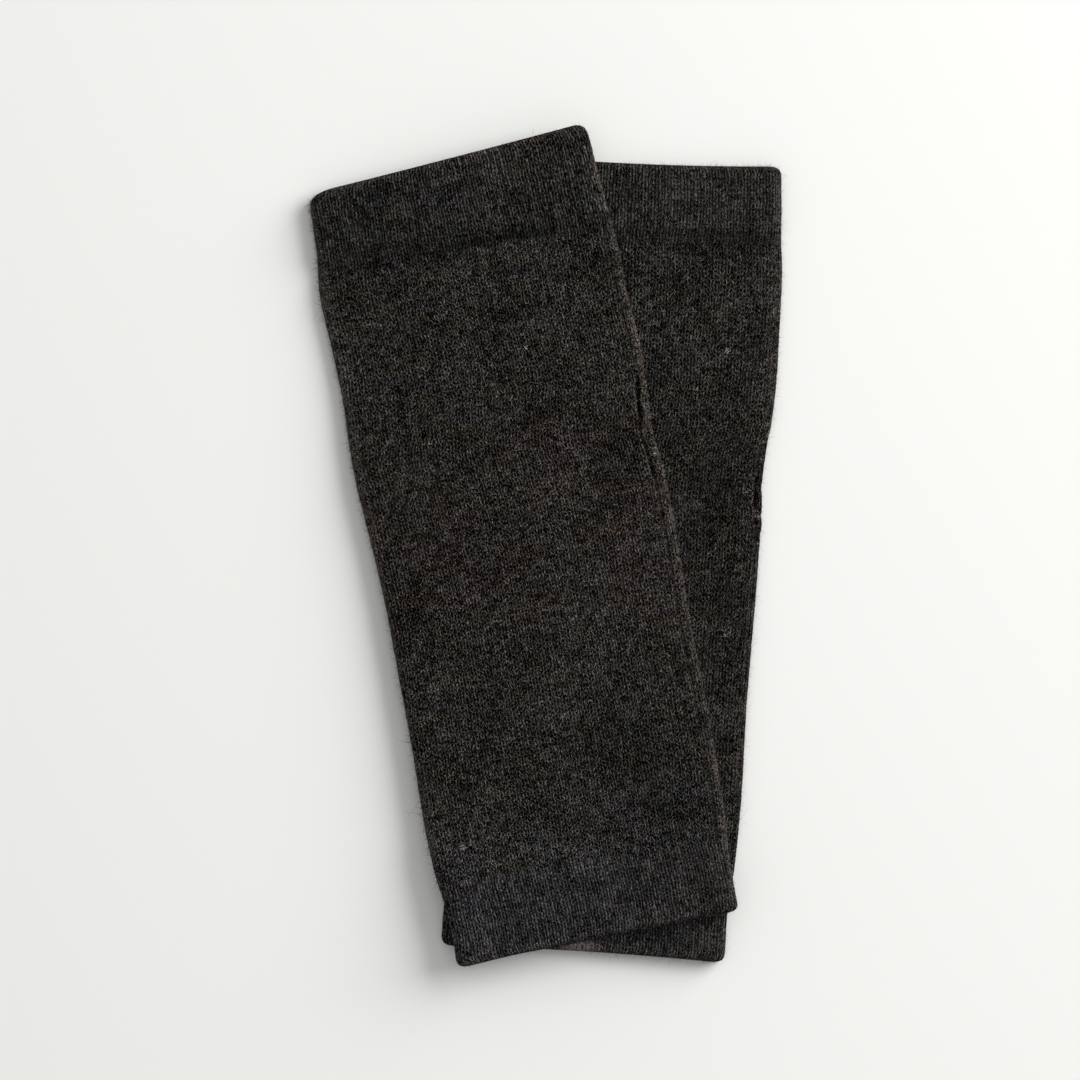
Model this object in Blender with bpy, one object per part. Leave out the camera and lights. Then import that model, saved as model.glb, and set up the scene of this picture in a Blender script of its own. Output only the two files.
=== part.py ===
"""A pair of knitted wrist warmers lying flat, the upper one across the lower one.

Each warmer is a knitted tube in three pieces: a body, linked down the thumb side with a slit left open for
the thumb, and a hem of doubled cloth at the finger end and at the arm end. A piece is a wall of cloth carried
round flattened sections: a front and a back layer that meet in two round folds.

Every piece is worked out in its warmer's own frame, in millimetres: "across" runs from the left fold to the
thumb side, "along" runs from the arm end to the finger end. The meshes are then written in metres, +Z up.
"""

from collections import namedtuple

import bmesh
import bpy
import numpy as np

MM = 0.001  # metres in a millimetre

# ---- Cloth, in millimetres ----
BODY_WALL = 1.4  # one layer of stockinette
LINKED_WALL = 1.5  # the hem where its turned edge is linked to the body
HEM_WALL = 2.3  # the hem, two layers of stockinette
INNER_GAP = 0.8  # between the front and the back layer of a tube lying flat
SEAM_GAP = 0.3  # between the body and a hem
LIFT = 0.4  # between the lower warmer and the upper one
HEM_RISE = 5.0  # length over which a hem thickens from its linked edge
CORNER = 3.0  # radius of a hem's corners, seen from above
CORNER_DEPTH = 0.7  # share of that radius by which the very rim is narrower
RIM_TURN = 0.32  # share of a hem's wall by which each face draws in at the very rim, where the cloth turns
NEAR_RIM_TURN = 0.06  # and the same half a millimetre before it
SEAM_WIDTH = 0.6  # the linked strip between the two edges of the cloth, round the section
LIP_STRIP = 1.0  # width of the strip along the slit's front lip
LIP_BAND = 2.4  # and of the two strips nearest to it

# ---- How finely the cloth is divided ----
FLAT_COLUMNS = 9  # across the front, and across the back
FOLD_COLUMNS = 4  # round each fold
BODY_ROWS_BELOW_SLIT = 11
BODY_ROWS_ABOVE_SLIT = 5
HEM_ROWS = 4

# ---- How the upper warmer drapes over the lower one ----
DRAPE_START = 3.0  # it leaves the lower warmer's level this far outside its outline
DRAPE_LENGTH = 52.0  # and reaches the table after this length
STEP_LENGTH = 12.0  # it climbs on to a hem of the lower warmer over this length

Edge = namedtuple("Edge", "along left right")  # the two side edges of the outline
# A line across: along at its two ends, how far its middle is ahead, and how far its left corner hangs back.
Line = namedtuple("Line", "left right bow droop", defaults=(0.0,))
Lips = namedtuple("Lips", "along front back")  # the slit's lips, round the section from the thumb side's edge
Fold = namedtuple("Fold", "across along turn length width rise")  # a soft ridge, or a trough if it sinks
Warmer = namedtuple(
    "Warmer", "x y tilt edges arm_rim arm_link finger_link finger_rim seam lips folds rests_on_lower"
)

UPPER = Warmer(
    x=-7.0,
    y=-0.75,
    tilt=10.6,
    edges=[
        Edge(-118, -41.2, 43.0),
        Edge(-107, -40.7, 43.0),
        Edge(-99, -41.2, 43.0),
        Edge(-92, -42.2, 43.6),
        Edge(-79, -42.9, 44.2),
        Edge(-55, -42.4, 44.5),
        Edge(-30, -42.3, 44.4),
        Edge(-5, -42.4, 44.9),
        Edge(14, -43.4, 44.9),
        Edge(27, -44.2, 43.8),
        Edge(40, -44.1, 44.4),
        Edge(50, -43.6, 44.9),
        Edge(65, -43.8, 44.0),
        Edge(85, -44.4, 43.6),
        Edge(95, -43.4, 42.9),
        Edge(106, -42.9, 42.6),
        Edge(119, -42.3, 41.8),
    ],
    arm_rim=Line(-117.3, -115.9, 1.0),
    arm_link=Line(-92.0, -94.7, 0.0),
    finger_link=Line(91.0, 86.0, 1.0),
    finger_rim=Line(113.5, 118.7, -0.3, 0.9),
    seam=3.5,
    lips=[
        Lips(11.5, 3.8, 3.2),
        Lips(15.0, 4.1, 2.7),
        Lips(18.5, 4.1, 2.8),
        Lips(22.0, 4.3, 3.3),
        Lips(26.5, 4.5, 3.7),
        Lips(29.5, 4.3, 3.2),
        Lips(32.0, 4.1, 2.6),
        Lips(35.0, 3.8, 3.0),
        Lips(38.5, 4.0, 2.5),
        Lips(41.5, 3.7, 2.3),
        Lips(45.0, 3.8, 3.2),
    ],
    folds=[
        Fold(9, 89.8, -3, 26, 3.2, -0.45),
        Fold(-36, 89.5, 4, 10, 3.0, -0.35),
        Fold(29, 22.0, 82, 12, 5.0, -0.50),
        Fold(7, 38.0, 20, 14, 6.0, -0.25),
        Fold(-23, 5.0, 70, 13, 9.0, -0.25),
        Fold(24, -78.0, 114, 26, 7.0, -0.50),
        Fold(-34, 27.0, 35, 14, 7.0, 0.40),
        Fold(-12, -18.0, 51, 28, 8.0, 0.50),
        Fold(-3, -96.0, -4, 26, 6.0, 0.35),
    ],
    rests_on_lower=True,
)

LOWER = Warmer(
    x=19.0,
    y=-3.25,
    tilt=-3.9,
    edges=[
        Edge(-118, -41.4, 41.5),
        Edge(-108, -41.4, 41.3),
        Edge(-99, -41.3, 41.4),
        Edge(-92, -42.0, 42.2),
        Edge(-75, -42.6, 42.8),
        Edge(-40, -43.0, 42.6),
        Edge(-5, -43.2, 43.1),
        Edge(12, -43.3, 43.1),
        Edge(25, -43.4, 42.6),
        Edge(35, -43.5, 43.3),
        Edge(46, -43.5, 44.5),
        Edge(70, -43.8, 44.7),
        Edge(88, -43.9, 44.2),
        Edge(96, -43.4, 43.7),
        Edge(106, -43.0, 43.1),
        Edge(118, -42.8, 42.1),
    ],
    arm_rim=Line(-116.9, -116.4, 0.8),
    arm_link=Line(-92.5, -93.0, 0.0),
    finger_link=Line(89.5, 95.1, 0.0),
    finger_rim=Line(115.3, 117.2, -1.0),
    seam=2.2,
    lips=[
        Lips(10.0, 2.5, 1.9),
        Lips(14.0, 3.0, 1.3),
        Lips(18.0, 3.3, 1.0),
        Lips(22.0, 3.3, 1.3),
        Lips(26.0, 3.0, 1.8),
        Lips(30.5, 3.2, 1.9),
        Lips(35.0, 3.6, 2.1),
        Lips(40.0, 2.9, 1.6),
        Lips(45.0, 2.5, 1.9),
    ],
    folds=[
        Fold(20, 91.5, 4, 18, 3.2, -0.40),
        Fold(27, 18.0, 80, 20, 7.0, -0.45),
        Fold(33, -14.0, 85, 16, 6.0, -0.30),
        Fold(29, 51.0, 80, 14, 7.0, 0.40),
    ],
    rests_on_lower=False,
)

# The yarns' mean colours and finish: name, colour (linear), roughness
BODY_YARN = ("brown_grey_wool", (0.026, 0.024, 0.0215), 0.95)
FINGER_YARN = ("brown_grey_wool_turned", (0.025, 0.0235, 0.0215), 0.95)
ARM_YARN = ("grey_wool_turned", (0.0265, 0.0255, 0.0255), 0.95)


def smooth(t):
    """A soft step: 0 below 0, 1 above 1."""
    t = np.clip(t, 0.0, 1.0)
    return t * t * (3 - 2 * t)


def column(rows, name, along):
    """One column of a table at some place along the warmer, on a smooth curve through the rows."""
    at = np.array([row.along for row in rows], float)
    value = np.array([getattr(row, name) for row in rows], float)
    slope = np.gradient(value, at)
    k = int(np.clip(np.searchsorted(at, along) - 1, 0, len(at) - 2))
    step = at[k + 1] - at[k]
    t = np.clip((along - at[k]) / step, 0.0, 1.0)
    return (
        value[k] * (1 + 2 * t) * (1 - t) ** 2
        + slope[k] * step * t * (1 - t) ** 2
        + value[k + 1] * t * t * (3 - 2 * t)
        - slope[k + 1] * step * t * t * (1 - t)
    )


def between(first, last, t):
    """The line a share t of the way from the first line to the last."""
    return Line(*(a + (b - a) * t for a, b in zip(first, last)))


def shifted(line, distance):
    """A line moved along the warmer."""
    return Line(line.left + distance, line.right + distance, line.bow, line.droop)


def to_world(warmer, across, along):
    """A place in the warmer's own frame, in the frame that both warmers share."""
    turn = np.radians(warmer.tilt)
    x = warmer.x + across * np.cos(turn) - along * np.sin(turn)
    y = warmer.y + across * np.sin(turn) + along * np.cos(turn)
    return x, y


def to_own(warmer, x, y):
    """The inverse of to_world."""
    turn = np.radians(warmer.tilt)
    dx, dy = x - warmer.x, y - warmer.y
    return dx * np.cos(turn) + dy * np.sin(turn), dy * np.cos(turn) - dx * np.sin(turn)


def stack(wall):
    """Height of a tube lying flat, from the table to its top."""
    return 2 * wall + INNER_GAP


def height_under_upper(x, y):
    """Height of the upper warmer's underside: level over the lower warmer, higher over its hems, then down to
    the table outside its outline."""
    across, along = to_own(LOWER, x, y)
    into_hem = np.maximum(
        along - min(LOWER.finger_link[:2]) + STEP_LENGTH,
        max(LOWER.arm_link[:2]) - along + STEP_LENGTH,
    )
    level = stack(BODY_WALL) + (stack(HEM_WALL) - stack(BODY_WALL)) * smooth(into_hem / STEP_LENGTH) + LIFT
    half_width = max(edge.right for edge in LOWER.edges)
    half_length = max(LOWER.finger_rim[:2])
    outside = np.hypot(np.maximum(abs(across) - half_width, 0), np.maximum(abs(along) - half_length, 0))
    return level * (1 - smooth((outside - DRAPE_START) / DRAPE_LENGTH))


def fold_height(warmer, across, along):
    """Sum of the warmer's soft ridges and troughs: each is a bell, long one way and narrow the other."""
    total = np.zeros_like(across)
    for fold in warmer.folds:
        turn = np.radians(fold.turn)
        u = (across - fold.across) * np.cos(turn) + (along - fold.along) * np.sin(turn)
        v = (along - fold.along) * np.cos(turn) - (across - fold.across) * np.sin(turn)
        total += fold.rise * np.exp(-((u / fold.length) ** 2) - (v / fold.width) ** 2)
    return total


def stations(front_lip, back_lip, flat, radius):
    """Places of the columns, measured round the section's outside from the thumb side's edge: from the front
    lip over the front, round the left fold, along the back and up round the thumb side to the back lip."""
    quarter = np.pi * radius / 2
    left_fold = quarter + flat
    back = left_fold + 2 * quarter
    thumb_fold = back + flat
    around = thumb_fold + quarter
    return np.concatenate(
        [
            [front_lip, front_lip + LIP_STRIP],
            np.linspace(front_lip + LIP_BAND, left_fold, FLAT_COLUMNS + 1),
            np.linspace(left_fold, back, FOLD_COLUMNS + 1)[1:],
            np.linspace(back, thumb_fold, FLAT_COLUMNS + 1)[1:],
            np.linspace(thumb_fold, around + back_lip, FOLD_COLUMNS + 1)[1:],
        ]
    )


def section(place, left, right, radius, inset):
    """Across and level (-1 to 1) of places round a flattened section whose folds have this radius, moved
    inward by inset. Flats keep their places, and folds keep their angles."""
    quarter = np.pi * radius / 2
    flat = right - left - 2 * radius
    place = np.mod(place, 4 * quarter + 2 * flat)
    top_start = quarter
    top_end = top_start + flat
    back_start = top_end + 2 * quarter
    back_end = back_start + flat
    stretch = [place < top_start, place < top_end, place < back_start, place < back_end]
    over, under = np.pi / 2, -np.pi / 2
    angle = np.select(
        stretch,
        [place / radius, over, over + (place - top_end) / radius, under],
        under + (place - back_end) / radius,
    )
    near, far = right - radius, left + radius
    centre = np.select(stretch, [near, near - (place - top_start), far, far + (place - back_start)], near)
    return centre + (radius - inset) * np.cos(angle), np.sin(angle)


def ring(warmer, line, lips, wall, outer_inset, inner_inset, narrow=0.0):
    """The outer and the inner ring of cloth on one line across the warmer, in metres."""
    left = column(warmer.edges, "left", line.left) + narrow
    right = column(warmer.edges, "right", line.right) - narrow
    radius = wall + INNER_GAP / 2
    place = stations(lips[0], lips[1], right - left - 2 * radius, radius)
    rings = []
    for inset in (outer_inset, inner_inset):
        across, level = section(place, left, right, radius, inset)
        share = (across - left) / (right - left)
        along = line.left + (line.right - line.left) * share + line.bow * 4 * share * (1 - share)
        along -= line.droop * (1 - share) ** 14
        x, y = to_world(warmer, across, along)
        z = (radius - inset) * level + radius + fold_height(warmer, across, along) * np.maximum(level, 0)
        if warmer.rests_on_lower:
            z = z + height_under_upper(x, y)
        rings.append(np.stack([x, y, z], axis=1) * MM)
    return rings


def body_rings(warmer):
    """Rings of the body from the arm end to the finger end, and which gaps between them the slit crosses."""
    low = shifted(warmer.arm_link, SEAM_GAP / 2)
    high = shifted(warmer.finger_link, -SEAM_GAP / 2)
    first, last = warmer.lips[0].along, warmer.lips[-1].along
    thumb_side = np.concatenate(
        [
            np.linspace(low.right, first, BODY_ROWS_BELOW_SLIT + 1)[:-1],
            [lips.along for lips in warmer.lips],
            np.linspace(last, high.right, BODY_ROWS_ABOVE_SLIT + 1)[1:],
        ]
    )
    closed = (warmer.seam + SEAM_WIDTH / 2, warmer.seam - SEAM_WIDTH / 2)
    rings = []
    for along in thumb_side:
        lips = next(((lip.front, lip.back) for lip in warmer.lips if lip.along == along), closed)
        line = between(low, high, (along - low.right) / (high.right - low.right))
        rings.append(ring(warmer, line, lips, BODY_WALL, 0.0, BODY_WALL))
    slit = [first <= a and b <= last for a, b in zip(thumb_side[:-1], thumb_side[1:])]
    return rings, slit


def hem_rings(warmer, link, rim):
    """Rings of a hem from its linked edge to its rounded rim."""
    toward_rim = 1 if rim.left > link.left else -1
    start = shifted(link, toward_rim * SEAM_GAP / 2)
    depth = abs(rim.left - start.left)
    closed = (warmer.seam + SEAM_WIDTH / 2, warmer.seam - SEAM_WIDTH / 2)
    from_rim = np.concatenate(
        [np.linspace(depth, CORNER, HEM_ROWS + 1), [CORNER / 2, CORNER / 6, 0.0]]
    )
    turns = [0.0] * (HEM_ROWS + 2) + [NEAR_RIM_TURN, RIM_TURN]
    rings = []
    for distance, turn in zip(from_rim, turns):
        line = between(rim, start, distance / depth)
        wall = LINKED_WALL + (HEM_WALL - LINKED_WALL) * smooth((depth - distance) / HEM_RISE)
        corner = CORNER - np.sqrt(CORNER**2 - max(CORNER - distance, 0.0) ** 2)
        rings.append(ring(warmer, line, closed, wall, turn * wall, wall - turn * wall, corner * CORNER_DEPTH))
    return rings, [False] * (len(rings) - 1)


def wool(name, colour, roughness):
    """A plain material for one yarn."""
    material = bpy.data.materials.get(name)
    if material is None:
        material = bpy.data.materials.new(name)
        material.use_nodes = True
        shader = material.node_tree.nodes["Principled BSDF"]
        shader.inputs["Base Color"].default_value = (*colour, 1.0)
        shader.inputs["Roughness"].default_value = roughness
        shader.inputs["Metallic"].default_value = 0.0
    return material


def knit(name, rings, slit, yarn):
    """One closed wall of cloth: an outer and an inner skin over the rings, joined along every open edge."""
    shape = bmesh.new()
    outer = [[shape.verts.new(point) for point in pair[0]] for pair in rings]
    inner = [[shape.verts.new(point) for point in pair[1]] for pair in rings]
    for skin in (outer, inner):
        for row, (near, far) in enumerate(zip(skin[:-1], skin[1:])):
            columns = len(near) - 1 if slit[row] else len(near)
            for a in range(columns):
                b = (a + 1) % len(near)
                shape.faces.new((near[a], near[b], far[b], far[a]))
    fellow = {a: b for near, far in zip(outer, inner) for a, b in zip(near, far)}
    open_edges = [edge for edge in shape.edges if edge.is_boundary and edge.verts[0] in fellow]
    for edge in open_edges:
        a, b = edge.verts
        shape.faces.new((a, b, fellow[b], fellow[a]))
    bmesh.ops.recalc_face_normals(shape, faces=shape.faces)
    mesh = bpy.data.meshes.new(name)
    shape.to_mesh(mesh)
    shape.free()
    mesh.shade_smooth()
    mesh.materials.append(wool(*yarn))
    piece = bpy.data.objects.new(name, mesh)
    bpy.context.scene.collection.objects.link(piece)
    return piece


def make_warmer(name, warmer):
    """The three pieces of one warmer."""
    knit(f"{name}_body", *body_rings(warmer), BODY_YARN)
    knit(f"{name}_finger_hem", *hem_rings(warmer, warmer.finger_link, warmer.finger_rim), FINGER_YARN)
    knit(f"{name}_arm_hem", *hem_rings(warmer, warmer.arm_link, warmer.arm_rim), ARM_YARN)


for leftover in list(bpy.data.objects):
    bpy.data.objects.remove(leftover)
make_warmer("lower", LOWER)
make_warmer("upper", UPPER)
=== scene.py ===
"""A pair of knitted wrist warmers lying flat on a pale table, the upper one across the lower one.

Each warmer is a knitted tube in three pieces: a body linked down the thumb side, with a slit left open for
the thumb, and a hem of doubled cloth at the finger end and at the arm end. Pieces are worked out in their
warmer's own frame, in millimetres: "across" runs from the left fold to the thumb side, "along" from the arm
end to the finger end. On the cloth itself, places are counted in wales, round the tube, and in courses,
along it.
"""

from collections import namedtuple

import bmesh
import bpy
import numpy as np
from mathutils import Matrix, Vector


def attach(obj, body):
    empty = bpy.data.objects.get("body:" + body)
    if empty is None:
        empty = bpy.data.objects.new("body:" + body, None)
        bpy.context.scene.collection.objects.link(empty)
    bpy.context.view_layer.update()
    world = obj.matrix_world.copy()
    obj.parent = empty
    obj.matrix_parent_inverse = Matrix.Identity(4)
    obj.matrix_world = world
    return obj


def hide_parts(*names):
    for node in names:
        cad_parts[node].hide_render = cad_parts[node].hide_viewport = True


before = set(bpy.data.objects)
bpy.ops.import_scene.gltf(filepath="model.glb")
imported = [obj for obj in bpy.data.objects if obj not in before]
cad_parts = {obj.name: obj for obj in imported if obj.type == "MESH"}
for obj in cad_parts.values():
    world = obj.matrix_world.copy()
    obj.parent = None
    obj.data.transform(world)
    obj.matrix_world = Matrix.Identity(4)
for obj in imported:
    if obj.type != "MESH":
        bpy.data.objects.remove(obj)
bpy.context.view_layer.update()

# ======== The two bodies ========
# Each is a panel of fine stockinette in a marled dark wool yarn, its two side edges linked together down the
# thumb side. The linking skips the slit for the thumb, where the cut edges roll inward.

MM = 0.001  # metres in a millimetre
BODY_WALL = 1.4  # one layer of stockinette
HEM_WALL = 2.3  # a hem, two layers
INNER_GAP = 0.8  # between the front and the back layer of a tube lying flat
SEAM_WIDTH = 0.6  # the linked strip between the two edges of the cloth
LINK_GAP = 0.02  # between a body and a hem
WALES = 95  # round a tube
BODY_COURSES = 138

# How much each thing adds to how light a place on the yarn is: fibres, fuzz, one leg's luck, the marl, small
# and large clouds, and how high the leg stands there.
Grain = namedtuple("Grain", "fibres fuzz luck marl mottle cloud bar")
# A stitch's two legs start a foot's distance from its middle and have spread to a head's distance when the
# course ends, in wales; half is half a leg's width. Its fibres run for as many half courses, and one leg's
# luck keeps for as many courses.
Legs = namedtuple("Legs", "foot head half run keeps grain")
BODY_LEGS = Legs(0.10, 0.36, 0.19, 1.0, 1.0, Grain(1.25, 0.95, 0.42, 0.45, 1.3, 0.48, 0.85))

Edge = namedtuple("Edge", "along left right")  # the two side edges of the outline
# A line across: along at its two ends, how far its middle is ahead, and how far its left corner hangs back.
Line = namedtuple("Line", "left right bow droop", defaults=(0.0,))
Lips = namedtuple("Lips", "along front back")  # the slit's lips, round the section from the thumb side's edge
# A soft ridge, a trough, or a patch of wear and painted light: its middle, turn in degrees, size, and how
# much it rises, or how much it wears and is painted lighter.
Fold = namedtuple("Fold", "across along turn length width rise")
# A warmer: the place and tilt of its own frame, its outline, the lines of its rims and linked edges, its seam
# and slit, its folds, its patches of wear and of painted light, and how felted its side edges are and how
# much highlight is painted on them.
Warmer = namedtuple(
    "Warmer", "name x y tilt edges arm_rim arm_link finger_link finger_rim seam lips folds worn felt upper"
)


def listed(kind, *rows):
    """A table, from its rows of one kind."""
    return [kind(*row) for row in rows]


UPPER = Warmer(
    name="upper",
    x=-7.0,
    y=-0.75,
    tilt=10.6,
    edges=listed(
        Edge,
        (-118, -41.2, 42.7), (-107, -40.7, 42.7), (-99, -41.2, 42.8), (-92, -42.2, 43.6),
        (-79, -42.9, 44.2), (-55, -42.4, 44.5), (-30, -42.3, 44.4), (-5, -42.4, 44.9),
        (14, -43.4, 44.9), (27, -44.2, 43.8), (40, -44.1, 44.4), (50, -43.6, 44.9),
        (65, -43.8, 44.0), (85, -44.4, 43.6), (95, -43.2, 42.6), (106, -42.7, 41.8),
        (119, -42.4, 41.0),
    ),
    arm_rim=Line(-117.3, -115.9, 1.0),
    arm_link=Line(-92.0, -94.7, 0.0),
    finger_link=Line(91.0, 86.0, 1.0),
    finger_rim=Line(113.5, 118.7, -0.3, 1.5),
    seam=4.0,
    lips=listed(
        Lips,
        (11.5, 4.25, 3.7), (13.8, 4.55, 3.65), (15.8, 4.8, 3.3), (17.8, 4.65, 3.65),
        (19.8, 4.5, 3.95), (21.6, 4.45, 3.75), (23.5, 4.7, 3.9), (25.3, 4.8, 4.25),
        (27.5, 4.65, 4.1), (29.6, 4.45, 3.75), (31.0, 4.55, 2.75), (33.0, 4.6, 2.7),
        (34.6, 4.4, 3.0), (36.0, 4.15, 3.6), (37.2, 4.2, 3.3), (38.8, 4.45, 2.75),
        (40.8, 4.2, 2.8), (42.8, 3.7, 3.0), (45.0, 3.9, 3.35),
    ),
    folds=listed(
        Fold,
        (9, 89.8, -3, 26, 3.2, -0.30), (0, 90.3, -2, 8, 0.9, -0.65), (17, 89.8, -3, 9, 0.9, -0.55),
        (-26, 89.0, 1, 4, 1.1, -0.50), (-36, 89.5, 4, 10, 3.0, -0.35), (29, 22.0, 82, 12, 5.0, -0.50),
        (7, 38.0, 20, 14, 6.0, -0.25), (-23, 5.0, 70, 13, 9.0, -0.25), (24, -78.0, 114, 26, 7.0, -0.50),
        (-34, 27.0, 35, 14, 7.0, 0.40), (-12, -18.0, 51, 28, 8.0, 0.50), (-3, -96.0, -4, 26, 6.0, 0.35),
    ),
    # patches of felt with painted highlight on the rims and thumb edge; the one beside the slit takes some
    # painted light away
    worn=listed(
        Fold,
        (20, -116.4, 1, 13, 1.2, 0.8), (-17, -115.2, 5, 7, 1.6, 0.5), (43.6, -80.0, 90, 18, 1.2, 0.70),
        (43.2, 68.0, 90, 10, 1.2, 0.40), (43.4, 37.0, 90, 8, 1.2, -0.35), (18, 117.2, 4, 13, 1.1, 0.35),
    ),
    felt=0.8,
    upper=True,
)

LOWER = Warmer(
    name="lower",
    x=19.0,
    y=-3.25,
    tilt=-3.9,
    edges=listed(
        Edge,
        (-118, -41.8, 41.25), (-108, -41.8, 41.05), (-99, -41.7, 41.2), (-92, -42.0, 42.0),
        (-75, -42.6, 42.8), (-40, -43.0, 42.6), (-5, -43.2, 43.1), (12, -43.3, 43.1),
        (25, -43.4, 42.6), (35, -43.5, 43.3), (46, -43.5, 44.5), (70, -43.8, 44.7),
        (88, -43.9, 44.2), (96, -43.4, 43.4), (106, -43.0, 42.8), (118, -42.8, 41.8),
    ),
    arm_rim=Line(-116.9, -116.4, 0.8),
    arm_link=Line(-92.5, -93.0, 0.0),
    finger_link=Line(89.5, 95.1, 0.0),
    finger_rim=Line(115.3, 117.2, -1.0),
    seam=2.2,
    lips=listed(
        Lips,
        (10.0, 2.5, 1.9), (11.2, 2.7, 1.2), (13.2, 2.8, 1.1), (14.8, 3.0, 2.4),
        (16.5, 3.2, 1.1), (19.0, 3.3, 1.0), (21.0, 3.3, 1.2), (22.6, 3.2, 2.6),
        (26.0, 2.9, 2.35), (30.5, 3.1, 2.55), (35.0, 3.0, 2.45), (38.5, 2.3, 1.75),
        (40.5, 2.1, 1.2), (42.2, 2.1, 1.55), (45.0, 2.5, 1.9),
    ),
    folds=listed(
        Fold,
        (20, 91.5, 4, 18, 3.2, -0.40), (27, 18.0, 80, 20, 7.0, -0.45), (33, -14.0, 85, 16, 6.0, -0.30),
        (29, 51.0, 80, 14, 7.0, 0.40),
    ),
    # patches of felt with painted highlight on the rims and thumb edge; the first is painted light where the
    # arm rim lies in the upper warmer's shadow
    worn=listed(
        Fold,
        (-2, -113.9, 4, 7, 3.0, 3.2), (11, 116.6, 0, 9, 1.2, 0.5), (42.3, 104.0, 90, 9, 1.3, 0.45),
        (42.0, -88.0, 90, 6, 1.0, 0.70), (42.3, -42.0, 90, 13, 1.0, 0.60),
    ),
    felt=0.3,
    upper=False,
)

LIFT = 0.4  # between the lower warmer and the upper one
DRAPE_START, DRAPE_LENGTH = 3.0, 52.0  # so far outside the lower's outline, and over so much, it comes down
STEP_LENGTH = 12.0  # over which it climbs on to a hem of the lower
SWELL = 0.19  # how far the yarns of a fold stand out sideways
CORNER_SHARE = 0.075  # share of the width over which a left corner hangs back
WAVE, WAVE_WIDTH = 0.14, 160.0  # depth of the cloth's soft waves, and how wide their lattice is
NOISE_LENGTH = 240.0  # how long every lattice of soft noise is, along the warmer


def smooth(t):
    """A soft step: 0 below 0, 1 above 1, and 3t^2 - 2t^3 between."""
    t = np.clip(t, 0.0, 1.0)
    return t * t * (3 - 2 * t)


def bell(distance, width):
    """A bell: e to the minus square of the distance over the width."""
    return np.exp(-((distance / width) ** 2))


def soft_noise(seed, u, v, cells_u, cells_v):
    """Soft random waves from -1 to 1: random heights on a lattice over u and v from 0 to 1, joined by soft
    steps. Along u the lattice meets itself."""
    height = np.random.default_rng(seed).uniform(-1, 1, (cells_u, cells_v + 1))
    u = np.mod(u, 1) * cells_u
    v = np.clip(v, 0, 0.9999) * cells_v
    i = np.floor(u).astype(int) % cells_u
    j = np.floor(v).astype(int)
    s = smooth(u - np.floor(u))
    t = smooth(v - j)
    after = (i + 1) % cells_u
    near = height[i, j] * (1 - s) + height[after, j] * s
    far = height[i, j + 1] * (1 - s) + height[after, j + 1] * s
    return near * (1 - t) + far * t


def end_to_end(along):
    """How far a place is from the arm end to the finger end, from 0 to 1, for soft noise."""
    return along / NOISE_LENGTH + 0.5


def column(rows, name, along):
    """One column of a table at places along the warmer: cubic pieces through the rows, each row's slope being
    that between its neighbours."""
    at = np.array([row.along for row in rows], float)
    value = np.array([getattr(row, name) for row in rows], float)
    slope = np.gradient(value, at)
    k = np.clip(np.searchsorted(at, along) - 1, 0, len(at) - 2)
    step = at[k + 1] - at[k]
    t = np.clip((along - at[k]) / step, 0.0, 1.0)
    return (
        value[k] * (1 + 2 * t) * (1 - t) ** 2
        + slope[k] * step * t * (1 - t) ** 2
        + value[k + 1] * t * t * (3 - 2 * t)
        - slope[k + 1] * step * t * t * (1 - t)
    )


def between(first, last, t):
    """The lines a share t of the way from the first line to the last."""
    return Line(*(a + (b - a) * t for a, b in zip(first, last)))


def shifted(line, distance):
    """A line moved along the warmer."""
    return line._replace(left=line.left + distance, right=line.right + distance)


def to_world(warmer, across, along):
    """A place in the warmer's own frame, turned and moved into the frame that both warmers share."""
    turn = np.radians(warmer.tilt)
    x = warmer.x + across * np.cos(turn) - along * np.sin(turn)
    y = warmer.y + across * np.sin(turn) + along * np.cos(turn)
    return x, y


def to_own(warmer, x, y):
    """The inverse of to_world."""
    turn = np.radians(warmer.tilt)
    dx = x - warmer.x
    dy = y - warmer.y
    return dx * np.cos(turn) + dy * np.sin(turn), dy * np.cos(turn) - dx * np.sin(turn)


def height_under_upper(x, y):
    """Height of the upper warmer's underside: level over the lower warmer, higher over its hems by a soft
    step, then down to the table by a soft step outside its outline."""
    across, along = to_own(LOWER, x, y)
    into_hem = np.maximum(along - min(LOWER.finger_link[:2]), max(LOWER.arm_link[:2]) - along) + STEP_LENGTH
    body_height = 2 * BODY_WALL + INNER_GAP
    hem_height = 2 * HEM_WALL + INNER_GAP
    level = body_height + (hem_height - body_height) * smooth(into_hem / STEP_LENGTH) + LIFT
    beside = np.maximum(abs(across) - max(edge.right for edge in LOWER.edges), 0)
    beyond = np.maximum(abs(along) - max(LOWER.finger_rim[:2]), 0)
    return level * (1 - smooth((np.hypot(beside, beyond) - DRAPE_START) / DRAPE_LENGTH))


def bells(folds, across, along):
    """Sum of soft ridges, troughs or patches: each is a bell, long one way and narrow the other."""
    total = np.zeros_like(across)
    for fold in folds:
        turn = np.radians(fold.turn)
        u = (across - fold.across) * np.cos(turn) + (along - fold.along) * np.sin(turn)
        v = (along - fold.along) * np.cos(turn) - (across - fold.across) * np.sin(turn)
        total = total + fold.rise * np.exp(-((u / fold.length) ** 2) - (v / fold.width) ** 2)
    return total


def girth(warmer, line, radius, narrow=0.0):
    """Length round the section on a line: two flats and two half circles."""
    width = column(warmer.edges, "right", line.right) - column(warmer.edges, "left", line.left) - 2 * narrow
    return 2 * (width - 2 * radius) + 2 * np.pi * radius


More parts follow.
